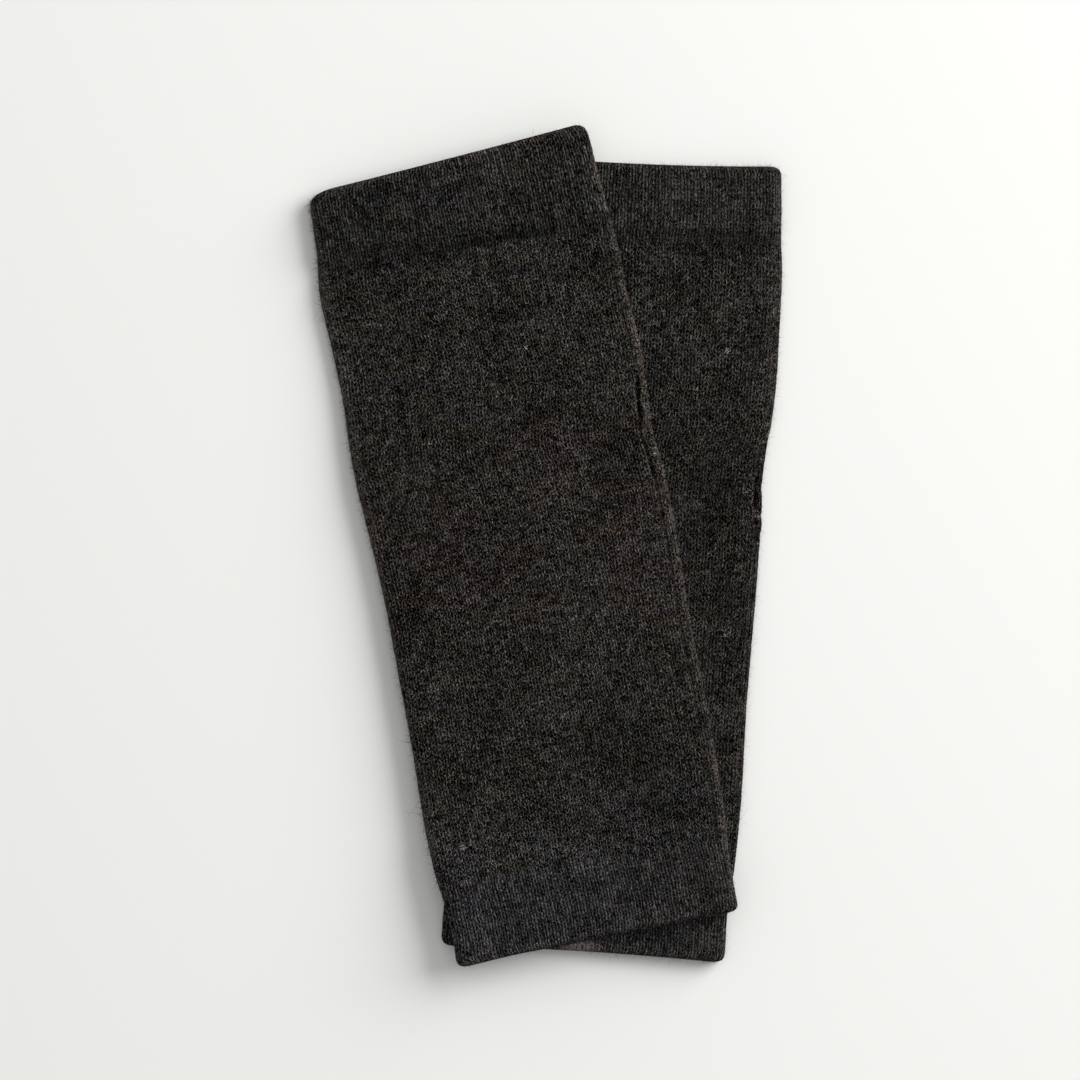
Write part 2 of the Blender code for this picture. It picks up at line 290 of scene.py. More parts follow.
def cloth(warmer, line, place, radius, inset, narrow=0.0, slip=0.0):
    """Points of the cloth in metres, with their across, along and level. A place is measured round the
    section's outside from the thumb side's edge: up a quarter circle, over the front, round the left fold,
    along the back and up again. The inset moves a point inward: flats keep their places, folds keep their
    angles. A line is a parabola whose left corner hangs back by a quarter ellipse. The back lies a slip
    further along than the front. Bells and soft waves raise the front."""
    left = column(warmer.edges, "left", line.left) + narrow
    right = column(warmer.edges, "right", line.right) - narrow
    quarter = np.pi * radius / 2
    flat = right - left - 2 * radius
    place = np.mod(place, 4 * quarter + 2 * flat)
    top_end = quarter + flat
    back_start = top_end + 2 * quarter
    back_end = back_start + flat
    stretch = [place < quarter, place < top_end, place < back_start, place < back_end]
    over = np.full_like(place, np.pi / 2)
    angles = [place / radius, over, over + (place - top_end) / radius, -over]
    angle = np.select(stretch, angles, (place - back_end) / radius - over)
    near = right - radius + 0 * place
    far = left + radius + 0 * place
    centre = np.select(stretch, [near, near - (place - quarter), far, far + (place - back_start)], near)
    across = centre + (radius - inset + SWELL) * np.cos(angle)
    level = np.sin(angle)
    share = np.clip((across - left) / (right - left), 0.0, 1.0)
    along = line.left + (line.right - line.left) * share + line.bow * 4 * share * (1 - share)
    hanging = np.clip(1 - share / CORNER_SHARE, 0, 1)
    along = along - line.droop * (1 - np.sqrt(1 - hanging**2))
    along = along + slip * smooth(0.5 - level)
    x, y = to_world(warmer, across, along)
    waves = WAVE * soft_noise(11 + warmer.upper, across / WAVE_WIDTH, end_to_end(along), 7, 12) - WAVE
    top = np.maximum(level, 0)
    z = (radius - inset) * level + radius + (bells(warmer.folds, across, along) + waves) * top
    if warmer.upper:
        z = z + height_under_upper(x, y)
    return np.stack([x, y, z], axis=-1) * MM, across, along, level


GROOVE = 0.34  # depth of the grooves between the yarns
TAIL_END = 0.35  # share of a course over which the legs of the stitch before sink under the next
LOWEST_LEG = 0.62  # height of the lowest leg, as a share of the highest
COURSES_DRAWN = 400  # more than any piece has
BROAD_WANDER, BROAD_CELLS = 0.35, (15, 16)  # how far the wales wander, in waves of two sizes
FINE_WANDER, FINE_CELLS = 0.18, (46, 60)
CREASE_DEPTH, CREASE_VARIES, CREASE_WIDTH = 0.16, 0.14, 1.2  # the crease at a linked edge
CREASE_END = 0.14  # the sine of the turn round the tube, from a fold, over which it ends


def stitch_relief(legs, wale, course, seed):
    """Height of the yarn, 0 in the gaps and 1 on top: round bars that lean out from the stitch's middle, the
    higher of this stitch's leg and the sinking leg of the stitch before. Each leg stands a little higher or
    lower than the next."""
    side = abs(np.mod(wale, 1) - 0.5)
    t = np.mod(course, 1)
    lean = (legs.head - legs.foot) * t
    leg = np.sqrt(np.clip(1 - ((side - legs.foot - lean) / legs.half) ** 2, 0, 1))
    tail = np.sqrt(np.clip(1 - ((side - legs.head - lean) / legs.half) ** 2, 0, 1))
    tail = tail * np.clip(1 - t / TAIL_END, 0, 1)
    height = np.random.default_rng(seed).uniform(LOWEST_LEG, 1.0, (2 * WALES + 4, COURSES_DRAWN))
    which = np.floor(2 * wale).astype(int) % (2 * WALES)
    return np.maximum(leg, tail) * height[which, np.floor(course).astype(int) % COURSES_DRAWN]


def wale_columns(legs, courses, kept):
    """Places of the grid's columns, in wales: each wale has its edge, a leg, its middle and the other leg,
    and the legs are where the row's own course has them. Only the columns to be kept are given."""
    spread = legs.foot + (legs.head - legs.foot) * np.mod(courses, 1)
    first = np.arange(WALES)[None, :, None]
    four = np.stack([0 * spread, 0.5 - spread, 0 * spread + 0.5, 0.5 + spread], axis=1)[:, None, :]
    return (first + four).reshape(len(courses), 4 * WALES)[:, kept]


def course_rows(count):
    """Two rows a course, a quarter and three quarters into it."""
    return np.arange(2 * count) / 2 + 0.25


def wobble(warmer, wale, along):
    """Sideways wander of the wales, which are never quite straight: soft waves of two sizes."""
    u = wale / WALES
    v = end_to_end(along)
    seed = 21 + 10 * warmer.upper
    fine = FINE_WANDER * soft_noise(seed + 1, u, v, *FINE_CELLS)
    return BROAD_WANDER * soft_noise(seed, u, v, *BROAD_CELLS) + fine


def crease(warmer, turn, distance, seed):
    """Depth of the crease at a linked edge, a share of a turn round the tube: a narrow bell, deeper in some
    places than in others, and gone at the two folds. The upper warmer's is twice as deep."""
    depth = CREASE_DEPTH + CREASE_VARIES * soft_noise(seed, turn, 0 * turn, 13, 1)
    depth = depth * smooth(abs(np.sin(2 * np.pi * turn)) / CREASE_END)
    return (1 + warmer.upper) * depth * bell(distance, CREASE_WIDTH)


def face_grid(index, closed_rows=False):
    """Quads between the neighbours of a grid of vertex numbers whose columns meet round the tube."""
    beside = np.roll(index, -1, axis=1)
    below = np.roll(index, -1, axis=0)
    across_below = np.roll(beside, -1, axis=0)
    quads = np.stack([index, beside, across_below, below], axis=-1)
    return (quads if closed_rows else quads[:-1]).reshape(-1, 4)


def placed(name, data):
    """A mesh, a lamp or a camera put into the scene, at the origin."""
    piece = bpy.data.objects.new(name, data)
    bpy.context.scene.collection.objects.link(piece)
    return piece


def mark_points(mesh, name, values):
    """A number at each point of a mesh, which its material reads."""
    layer = mesh.attributes.new(name, "FLOAT", "POINT")
    layer.data.foreach_set("value", values.astype(np.float32).ravel())


def lay_out(mesh, name, u, v):
    """A map of a mesh, from a place for each corner of its faces."""
    layer = mesh.uv_layers.new(name=name)
    layer.data.foreach_set("uv", np.stack([u, v], axis=1).astype(np.float32).ravel())


def of_face(pick, values, start, size):
    """The highest or the lowest of the values at a face's corners, given to each of them."""
    return np.repeat(pick.reduceat(values, start), size)


def knit(name, points, faces, wale, course, marks, bake, round_length, along_length):
    """A mesh of cloth whose faces are turned outward, with its places in wales and courses as the map "knit",
    its own map for baking, and its marks. A face that crosses a join has the whole length added to those of
    its corners that lie past the join."""
    mesh = bpy.data.meshes.new(name)
    mesh.from_pydata(points, [], faces)
    shape = bmesh.new()
    shape.from_mesh(mesh)
    bmesh.ops.recalc_face_normals(shape, faces=shape.faces)
    shape.to_mesh(mesh)
    shape.free()
    mesh.shade_smooth()
    corner = np.empty(len(mesh.loops), np.int32)
    mesh.loops.foreach_get("vertex_index", corner)
    start = np.empty(len(mesh.polygons), np.int32)
    mesh.polygons.foreach_get("loop_start", start)
    size = np.diff(np.append(start, len(corner)))
    places = []
    for values, length in ((wale, round_length), (course, along_length)):
        at_corner = values.ravel()[corner]
        past_join = of_face(np.maximum, at_corner, start, size) - at_corner > length / 2
        places.append(at_corner + length * past_join)
    lay_out(mesh, "knit", *places)
    lay_out(mesh, "OFBake", *bake(*places, corner, start, size))
    for mark, values in marks.items():
        mark_points(mesh, mark, values)
    return placed(name, mesh)


# How strongly a side edge is felted, and painted lighter as a highlight where its fuzz would catch the light,
# in a wide band and in a narrow one, and the narrow one's width.
WearAndSheen = namedtuple("WearAndSheen", "wide narrow reach")
THUMB_WEAR_AND_SHEEN, LEFT_WEAR_AND_SHEEN = WearAndSheen(0.6, 0.4, 1.2), WearAndSheen(0.05, 0.4, 0.6)
WIDE_START, WIDE_FADE = 1.0, 3.0  # the wide band fades from so far in, over so much
WEAR_AND_SHEEN_LEVEL, WEAR_AND_SHEEN_VARIES = 0.7, 0.45
PAINTED_FOLD_LIGHT, PAINTED_FOLD_LIGHT_WIDTH = 0.6, 0.7  # painted light on the very left fold, which faces away from the lamp: how much lighter it is, and how wide


def wear_and_sheen_bands(warmer, across, along, level):
    """How felted the cloth is by wear, and how much highlight is painted on it where edges catch the light: a
    wide and a narrow band along each side edge, stronger in some places than in others, and the patches of
    wear and painted light."""
    total = bells(warmer.worn, across, along)
    for side_band, side, inward in (
        (THUMB_WEAR_AND_SHEEN, 0.0, column(warmer.edges, "right", along) - across),
        (LEFT_WEAR_AND_SHEEN, 0.5, across - column(warmer.edges, "left", along)),
    ):
        noise = soft_noise(91 + warmer.upper, side + 0 * along, end_to_end(along), 2, 40)
        wide = side_band.wide * (1 - smooth((inward - WIDE_START) / WIDE_FADE))
        band = wide + side_band.narrow * bell(inward, side_band.reach)
        total = total + warmer.felt * (WEAR_AND_SHEEN_LEVEL + WEAR_AND_SHEEN_VARIES * noise) * band
    return total * smooth(level + 1)


def paint_shading(warmer, across, along, level):
    """Painted shading: shade painted in the cloth's troughs, darker by their depth, and light painted in a
    narrow bell at the left fold, which faces away from the lamp."""
    troughs = np.minimum(bells(warmer.folds, across, along), 0) * np.maximum(level, 0)
    inward = across - column(warmer.edges, "left", along)
    return troughs + PAINTED_FOLD_LIGHT * bell(inward, PAINTED_FOLD_LIGHT_WIDTH)


# A level hump of brown: its middle, how that slants, its reach, and over how much, toward the thumb side, the
# reach grows by a factor of e and the hump fades.
Hump = namedtuple("Hump", "middle slant reach widens fades")
BROWN = {"upper": Hump(6, 0.15, 36, 90, np.inf), "lower": Hump(12, 0.0, 50, np.inf, 38)}
BLUE_START, BLUE_LENGTH = -68, 30  # it comes in over so much, toward the arm end
BLUE_LOSS, LOSS_START, LOSS_WIDTH = 0.7, -10, 50  # and is weaker on the thumb side


def tinge(warmer, across, along):
    """How brown the cloth is, e to the minus fourth power of the distance from the hump's middle over its
    reach, and how blue, by a soft step toward the arm end less one toward the thumb side."""
    hump = BROWN[warmer.name]
    from_middle = (along - (hump.middle + hump.slant * across)) / (hump.reach * np.exp(across / hump.widens))
    brown = np.exp(-(from_middle**4)) * (1 - smooth(across / hump.fades))
    blue = smooth((BLUE_START - along) / BLUE_LENGTH)
    return brown, blue * (1 - BLUE_LOSS * smooth((across - LOSS_START) / LOSS_WIDTH))


def cloth_marks(warmer, across, along, level):
    """What the wool's material reads at each point of the cloth."""
    brown, blue = tinge(warmer, across, along)
    tone = paint_shading(warmer, across, along, level)
    return {"tone": tone, "rim": wear_and_sheen_bands(warmer, across, along, level), "brown": brown, "blue": blue}


FULLY_OPEN = 0.5  # the lips have their whole roll where they are the seam's width and this much apart
LEAST_GAP = 0.3  # between the lips
LIP_ROLL = 1.2  # how far a lip turns in
LIP_RISE, LIP_WIDTH = 0.3, 1.6  # how far it stands up before it turns
EDGE_LOOPS = 0.1  # how far the loops of its edge stand out
FRONT_RAGS, BACK_RAGS, FRONT_BACK = 0.25, 0.2, 0.05  # how far waves move the lips, and the front lies back
SLIT_GROOVE, FINGER_GROOVE = 0.35, 0.08  # the groove between the cloth's two edges, in the slit and past it
ARM_GROOVE, GROOVE_LOSS, GROOVE_FADE = 0.3, 0.2, 90.0  # and before it, where it gets shallower
STEADY = 6.0  # from a lip to where the wales have their whole wander
FOLD_COLUMNS = 12  # columns of the underside that are all kept, beside each fold
INNER_STEP = 24  # rows of the outside to one of the inside, away from the slit
INNER_PAINTED_SHADE = -0.5  # shade painted on the inside of the tube, which is darker
EDGE_PLACES = np.array([0.15, 0.26])  # how far past the cloth's edges the two columns beside each lie
EDGE_WALES = np.array([[0.08, 0.14]])  # and how many wales
LIP_PLACES = np.array([0.0, 0.5])  # how far back under a lip they turn instead
LIP_WALES = np.array([[0.2, 0.55]])  # and how many wales more
EDGE_SHARE, LIP_START = 0.6, 0.4  # the first sinks by this share of the groove, and by this at a lip
SLIT_PAINTED_SHADE = {"upper": 1.0, "lower": 0.4}  # how dark the shade painted under the lips is
OUTSIDE_SHARE, STRIP_START, STRIP_DEPTH, RIM_DEPTH = 0.95, 0.96, 0.034, 0.002  # heights in the baking map
SIDE_MARGIN = 0.8  # wales left free on either side of it
LIP_HIGHLIGHT_PLACE, LIP_HIGHLIGHT_WIDTH = 0.4, 0.45  # of the painted highlight along the rolled front lip
LIP_HIGHLIGHT, OPEN_LIP_HIGHLIGHT = 0.5, 0.4  # how strong the painted highlight is, and how much more where the slit is open and the lip stands up


def slit(warmer, along, courses, seed):
    """The cloth's two side edges, round the section: half the seam's width on either side of the seam, and at
    the slit where its lips are, with the edge's loops and soft waves. Also which rows the slit has, how far
    open it is, and how deep the groove between the edges is."""
    first, last = warmer.lips[0].along, warmer.lips[-1].along
    in_slit = (along >= first) & (along <= last)
    front = np.where(in_slit, column(warmer.lips, "front", along), warmer.seam + SEAM_WIDTH / 2)
    back = np.where(in_slit, column(warmer.lips, "back", along), warmer.seam - SEAM_WIDTH / 2)
    opened = smooth((front - back - SEAM_WIDTH) / FULLY_OPEN)
    edge_loops = EDGE_LOOPS * np.sin(np.pi * courses)[:, None]
    ragged = soft_noise(seed + 60, 0 * along, end_to_end(along), 2, 90)
    front = front - opened * (FRONT_BACK + FRONT_RAGS * ragged + edge_loops)
    front = np.maximum(front, back + LEAST_GAP)
    back = back + opened * (BACK_RAGS * ragged - edge_loops) * smooth(front - back - LEAST_GAP)
    before = ARM_GROOVE - GROOVE_LOSS * smooth((first - along) / GROOVE_FADE)
    groove = np.select([along <= first, in_slit], [before, SLIT_GROOVE + 0 * along], FINGER_GROOVE)
    return front, back, in_slit, opened, groove


def body_faces(outside, inside, starts, inner_rows, in_slit):
    """The wall's faces, from its points' numbers: both grids, left open at the slit; a rim at each end, with
    a face to a wale; the two cut edges of the slit; and a face at each of its ends."""
    open_inside = in_slit[inner_rows]
    faces = []
    for grid, opened in ((outside, in_slit), (inside, open_inside)):
        quads = face_grid(grid).reshape(-1, grid.shape[1], 4)
        keep = np.ones(quads.shape[:2], bool)
        keep[opened[:-1] & opened[1:], -1] = False
        faces += quads[keep].tolist()
    for row in (0, -1):
        for k in range(WALES):
            edge = outside[row, starts[k] : starts[k + 1] + 1]
            faces.append([*edge, inside[row, k + 1], inside[row, k]])
        faces.append([*outside[row, -3:], *outside[row, :3], inside[row, 0], inside[row, -1]])
    for k in np.flatnonzero(open_inside[:-1] & open_inside[1:]):
        for side in (0, -1):
            edge = outside[inner_rows[k] : inner_rows[k + 1] + 1, side]
            faces.append([*edge, inside[k + 1, side], inside[k, side]])
    for k in np.flatnonzero(open_inside)[[0, -1]]:
        row = inner_rows[k]
        faces.append([outside[row, -1], outside[row, 0], inside[k, 0], inside[k, -1]])
    return faces


def body(warmer, seed):
    """The body's wall. Outside, a grid of two rows a course and four columns a wale, three underneath, with
    two more columns on either side of the seam: they sink by its groove, and at the slit by the roll of its
    lips. Inside, a coarser grid of a column a wale."""
    low = shifted(warmer.arm_link, LINK_GAP / 2)
    high = shifted(warmer.finger_link, -LINK_GAP / 2)
    courses = np.concatenate([[0.0], course_rows(BODY_COURSES), [float(BODY_COURSES)]])
    line = between(low, high, courses[:, None] / BODY_COURSES)
    radius = BODY_WALL + INNER_GAP / 2
    around = girth(warmer, line, radius)
    front, back, in_slit, opened, groove = slit(warmer, line.right, courses, seed)

    which = np.arange(4 * WALES)
    whole = (which < 2 * WALES + FOLD_COLUMNS) | (which > 4 * WALES - FOLD_COLUMNS)
    kept = (which % 4 != 2) | whole
    starts = np.append(np.flatnonzero(which[kept] % 4 == 0), kept.sum()) + 2
    wale = wale_columns(BODY_LEGS, courses, kept)
    wale = np.hstack([wale, np.full((len(courses), 1), float(WALES))])
    course = courses[:, None] + 0 * wale
    place = front + (around + back - front) * wale / WALES
    to_lip = np.minimum(place - front, around + back - place)
    place = place + wobble(warmer, wale, line.right + 0 * wale) * smooth(to_lip / STEADY)
    inset = GROOVE * (1 - stitch_relief(BODY_LEGS, wale, course, seed))
    inset = inset - LIP_RISE * opened * bell(to_lip, LIP_WIDTH)
    for links, distance in ((51, line.right - low.right), (52, high.right - line.right)):
        inset = inset + crease(warmer, place / around, distance, seed + links)

    past_edge = EDGE_PLACES - opened * LIP_PLACES
    first = EDGE_SHARE * groove + LIP_START * opened
    sunk = np.hstack([first, groove + (LIP_ROLL - groove) * opened])
    places = np.hstack([(front - past_edge)[:, ::-1], place, around + back + past_edge])
    insets = np.hstack([sunk[:, ::-1] + inset[:, :1], inset, sunk + inset[:, -1:]])
    past_wale = EDGE_WALES + opened * LIP_WALES
    wales = np.hstack([-past_wale[:, ::-1], wale, WALES + past_wale])
    outer, across, along, level = cloth(warmer, line, places, radius, insets)

    slit_rows = np.flatnonzero(in_slit[:, 0])
    inner_rows = set(range(slit_rows[0], slit_rows[-1] + 1, 2)) | {slit_rows[0], slit_rows[-1]}
    inner_rows |= set(range(0, len(courses), INNER_STEP)) | {len(courses) - 1}
    inner_rows = np.array(sorted(inner_rows))
    inner_line = Line(*(values[inner_rows] for values in line))
    inner_wale = np.arange(WALES + 1.0) + np.zeros((len(inner_rows), 1))
    span = (around + back - front)[inner_rows]
    inner_place = front[inner_rows] + span * inner_wale / WALES
    inner, in_across, in_along, in_level = cloth(warmer, inner_line, inner_place, radius, BODY_WALL)

    outside = np.arange(wales.size).reshape(wales.shape)
    inside = outside.size + np.arange(inner_wale.size).reshape(inner_wale.shape)
    faces = body_faces(outside, inside, starts, inner_rows, in_slit[:, 0])
    is_inner = np.arange(outside.size + inside.size) >= outside.size

    def bake(u, v, corner, start, size):
        """The outside below, the inside in a strip at the top, and the rims between them."""
        within = is_inner[corner].astype(float)
        half = np.where(v < BODY_COURSES / 2, -1, 1)
        share = v / BODY_COURSES
        strip = STRIP_START + STRIP_DEPTH * share + RIM_DEPTH * half * (1 - within)
        all_outside = of_face(np.maximum, within, start, size) == 0
        u = (u + SIDE_MARGIN) / (WALES + 2 * SIDE_MARGIN)
        return u, np.where(all_outside, OUTSIDE_SHARE * share, strip)

    all_along, all_level = np.append(along, in_along), np.append(level, in_level)
    marks = cloth_marks(warmer, np.append(across, in_across), all_along, all_level)
    # shade painted under the lips of the slit
    gap = np.zeros(wales.shape)
    gap[:, [0, 1, -2, -1]] = -SLIT_PAINTED_SHADE[warmer.name] * in_slit
    # painted highlight along the rolled front lip, where it stands up and catches the light
    lip_highlight = (LIP_HIGHLIGHT + OPEN_LIP_HIGHLIGHT * opened) * in_slit * bell(places - front - LIP_HIGHLIGHT_PLACE, LIP_HIGHLIGHT_WIDTH)
    marks["tone"] = np.where(is_inner, INNER_PAINTED_SHADE, marks["tone"] + np.append(gap, 0 * inner_wale))
    marks["rim"] = np.where(is_inner, 0, marks["rim"] + np.append(lip_highlight, 0 * inner_wale))
    points = np.concatenate([outer.reshape(-1, 3), inner.reshape(-1, 3)])
    wale = np.append(wales, inner_wale)
    course = np.append(courses[:, None] + 0 * wales, courses[inner_rows][:, None] + 0 * inner_wale)
    return knit(f"{warmer.name}_body_cloth", points, faces, wale, course, marks, bake, WALES + 0.5, 1e6)


class Strand:
    """One socket of a material's nodes. Arithmetic on it adds Math nodes, and node() adds any other node."""

    def __init__(self, tree, socket=None):
        self.tree = tree
        self.socket = socket

    def node(self, kind, settings, sockets, output=0):
        """A node of this type: its settings first, then the values or links of its sockets."""
        made = self.tree.nodes.new("ShaderNode" + kind)
        for name, value in settings.items():
            if name == "stops":
                ramp = made.color_ramp
                while len(ramp.elements) < len(value):
                    ramp.elements.new(1.0)
                for element, (position, colour) in zip(ramp.elements, value):
                    element.position = position
                    element.color = (*colour, 1.0)
            else:
                setattr(made, name, value)
        for name, value in sockets.items():
            if isinstance(value, Strand):
                self.tree.links.new(value.socket, made.inputs[name])
            else:
                made.inputs[name].default_value = value
        return Strand(self.tree, made.outputs[output])

    def into(self, socket):
        """Links this socket to one of the shader's."""
        self.tree.links.new(self.socket, socket)

    def mark(self, name):
        """The number that the mesh's points have under this name."""
        return self.node("Attribute", {"attribute_name": name}, {}, output=2)

    def maths(self, operation, *values):
        """A Math node of these values."""
        return self.node("Math", {"operation": operation}, dict(enumerate(values)))

    def __add__(self, other):
        return self.maths("ADD", self, other)

    def __sub__(self, other):
        return self.maths("SUBTRACT", self, other)

    def __mul__(self, other):
        return self.maths("MULTIPLY", self, other)

    def __rsub__(self, other):
        return self.maths("SUBTRACT", other, self)

    __radd__ = __add__
    __rmul__ = __mul__

    def __abs__(self):
        return self.maths("ABSOLUTE", self)

    def at_least(self, other):
        """The higher of two numbers."""
        return self.maths("MAXIMUM", self, other)

    def step(self, low, high):
        """A soft step from 0 at low to 1 at high."""
        return self.node("MapRange", {"interpolation_type": "SMOOTHSTEP"}, {0: self, 1: low, 2: high})

    def vector(self, y, z):
        """A vector of three numbers."""
        return self.node("CombineXYZ", {}, {0: self, 1: y, 2: z})

    def noise(self, scale, detail):
        """Soft noise from 0 to 1 at the places of a vector."""
        sockets = {"Vector": self, "Scale": scale, "Detail": detail}
        return self.node("TexNoise", {"noise_dimensions": "3D"}, sockets)

    def scaled(self, factor):
        """A colour or vector times a number."""
        return self.node("VectorMath", {"operation": "SCALE"}, {0: self, 3: factor})

    def mixed(self, other, factor):
        """A colour mixed with another one."""
        return self.node("Mix", {"data_type": "RGBA"}, {0: factor, 6: self, 7: other}, output=2)


def new_material(name, constants):
    """A material, its shader's sockets with these constants in them, and a strand to start its nodes from."""
    material = bpy.data.materials.new(name)
    material.use_nodes = True
    sockets = material.node_tree.nodes["Principled BSDF"].inputs
    for socket, value in constants.items():
        sockets[socket].default_value = value
    return material, sockets, Strand(material.node_tree)


WOOL_CONSTANTS = {
    "Sheen Weight": 0.01,
    "Sheen Roughness": 0.6,
    "Sheen Tint": (0.76, 0.72, 0.68, 1.0),
    "Specular IOR Level": 0.01,
}
WOOL_DEPTH = 0.047  # how much light the yarn gives back where the sum is 1
SIDE_WANDER = 0.5  # of the legs, in wales, for fibres that run half a course
LENGTH_WANDER = 0.9  # in courses
WEAR_AND_SHEEN_WAVES, FUZZ_WAVES, MOTTLE_WAVES, CLOUD_WAVES = 1000.0, 3600.0, 520.0, 75.0  # to a metre
WANDER_WAVES = 1.3  # to a wale and to a course
MARL_WAVES, BROWN_WAVES, COOL_WAVES = (0.42, 2.7), (0.1, 0.2), (0.14, 0.24)  # to a wale, and to a course
FIBRE_WAVES, LEG_JUMP = 8, 3.7  # to a wale, and how far apart the waves of two legs are
# Soft steps that part high from low: between these values, or over so much from a dye's own.
FIBRE_STEP, FUZZ_STEP, COOL_STEP, BAR_STEP = (0.32, 0.68), (0.25, 0.75), (0.28, 0.72), (0.15, 0.85)
BROWN_STEP = 0.22
WEAR_AND_SHEEN_CONTRAST, WEAR_AND_SHEEN_LEAST = 2.2, 0.1  # of the grains of the worn colour and painted highlight
WEAR_AND_SHEEN_EVEN = 0.3  # how soon wear and painted highlight take the sum to an even one of its own, which has these two parts
WEAR_AND_SHEEN_SUM, WEAR_AND_SHEEN_FUZZ = 0.5, 0.3
PAINTED_SHADING_LIFT, BLUE_LIFT, RIM_LIFT, RIM_MORE = 0.8, 2.5, 0.45, 0.35  # how much lighter each makes the wool: painted shading, the blue, and wear with painted highlight
ROUGH, FIBRE_SHINE = 0.98, 0.1
FIBRE_HEIGHT, BUMP_HEIGHT = 0.4, 0.3 * MM  # the first beside a leg's 1, the second for all of it


def wool(name, seed, dye, legs):
    """Marled wool in stockinette. Over the map "knit", the legs of the stitches are bars that lean out from
    the stitch's middle, dark in the gaps. How light a place is, is the square of a sum: the bar's height, a
    random share for each leg, fibres along the leg, fuzz, marl, and soft clouds of two sizes. Its red swells
    in sparse patches and its blue in others, a few stitches wide. Where the cloth is worn, and where a
    highlight is painted on its edges, lips and rims, grains of the worn colour come through, and are lighter
    the more so. Painted shade darkens its troughs, the slit and the inside, and painted light lightens the
    left fold."""
    material, shader, start = new_material(name, WOOL_CONSTANTS)
    counted = start.node("UVMap", {"uv_map": "knit"}, {})
    wale, course = (start.node("SeparateXYZ", {}, {0: counted}, output=axis) for axis in (0, 1))
    where = start.node("TexCoord", {}, {}, output=3)
    grain = legs.grain

    rim = start.mark("rim") * (WEAR_AND_SHEEN_CONTRAST * where.noise(WEAR_AND_SHEEN_WAVES, 1.0) - WEAR_AND_SHEEN_LEAST)
    wander = wale.vector(course * (1 / legs.run), float(seed)).noise(WANDER_WAVES, 1.0)
    wander_too = wale.vector(course, seed + 40.0).noise(WANDER_WAVES, 1.0)
    wale = wale + (SIDE_WANDER / legs.run) * (wander - 0.5)
    course = course + LENGTH_WANDER * (wander_too - 0.5)
    t = start.maths("FRACT", course)
    upright = abs(start.maths("FRACT", wale) - 0.5) - (legs.head - legs.foot) * t
    leg = (1 - abs(upright - legs.foot) * (1 / legs.half)).at_least(0)
    tail = (1 - abs(upright - legs.head) * (1 / legs.half)).at_least(0) * (1 - t * (1 / TAIL_END)).at_least(0)
    bar = leg.at_least(tail)
    half_wale = start.maths("FLOOR", wale * 2)
    own_leg = half_wale.vector(start.maths("FLOOR", course * (1 / legs.keeps)), float(seed))
    luck = start.node("TexWhiteNoise", {"noise_dimensions": "3D"}, {"Vector": own_leg})
    fibres = (upright * FIBRE_WAVES + half_wale * LEG_JUMP).vector(course * (2 / legs.run), float(seed))
    fibres = fibres.noise(1.0, 2.0).step(*FIBRE_STEP)
    fuzz = where.noise(FUZZ_WAVES, 1.0).step(*FUZZ_STEP)
    marl = (wale * MARL_WAVES[0]).vector(start.maths("FLOOR", course) * MARL_WAVES[1], seed + 0.5)
    marl = marl.noise(1.0, 1.0)
    mottle = where.noise(MOTTLE_WAVES, 2.0)
    cloud = where.noise(CLOUD_WAVES, 1.0)

    shade = grain.fibres * fibres + grain.fuzz * fuzz + grain.luck * luck + grain.marl * marl
    shade = shade + grain.mottle * (mottle - 0.5) + grain.cloud * (cloud - 0.5)
    shade = (shade + grain.bar * bar.step(*BAR_STEP) - dye.gap).at_least(0)
    shade = shade + (rim * WEAR_AND_SHEEN_EVEN).step(0.0, 1.0) * (WEAR_AND_SHEEN_SUM + WEAR_AND_SHEEN_FUZZ * fuzz - shade)
    brown = (wale * BROWN_WAVES[0]).vector(course * BROWN_WAVES[1], seed + 60.0).noise(1.0, 4.0)
    brown = brown.step(dye.rare, dye.rare + BROWN_STEP)
    cool = (wale * COOL_WAVES[0]).vector(course * COOL_WAVES[1], seed + 80.0).noise(1.0, 4.0).step(*COOL_STEP)
    blued = start.mark("blue")
    red = shade + (dye.red + dye.brown * (brown * start.mark("brown")))
    blue = (shade + (dye.blue * blued - dye.yellow - dye.vary * (cool - 0.5))).at_least(0)
    squared = shade * shade
    fresh = (red * red).vector(squared, blue * blue).scaled(WOOL_DEPTH)
    worn = (dye.worn[0] * squared).vector(dye.worn[1] * squared, dye.worn[2] * squared)
    # painted shade and light from the painted shading mark, and a painted highlight where the wear and sheen
    # mark is high
    lift = (1 + PAINTED_SHADING_LIFT * start.mark("tone")) * (1 + rim * (RIM_LIFT + RIM_MORE * rim))
    lift = lift * (1 + dye.blue * BLUE_LIFT * blued)
    height = bar * (2 - bar) + FIBRE_HEIGHT * fibres
    fresh.mixed(worn, rim).scaled(lift * dye.light).into(shader["Base Color"])
    (ROUGH - FIBRE_SHINE * fibres).into(shader["Roughness"])
    bump = start.node("Bump", {}, {"Strength": 0.8, "Distance": BUMP_HEIGHT, "Height": height})
    bump.into(shader["Normal"])
    return material


# A yarn's colour: how much redder than green it is, how much redder its brown patches are and how rare, how
# much yellower it is, how much bluer toward the arm end, and how much its blue varies; how dark its gaps
# are, its light as a whole, and its colour where it is worn and where a highlight is painted.
Dye = namedtuple("Dye", "red brown rare yellow blue vary gap light worn")
WORN_AND_LIT_BROWN = (0.057, 0.047, 0.041)
UPPER_DYE = Dye(0.022, 0.068, 0.38, 0.051, 0.058, 0.11, 1.53, 1.01, WORN_AND_LIT_BROWN)
LOWER_DYE = Dye(0.019, 0.100, 0.45, 0.051, 0.050, 0.11, 1.59, 1.03, WORN_AND_LIT_BROWN)

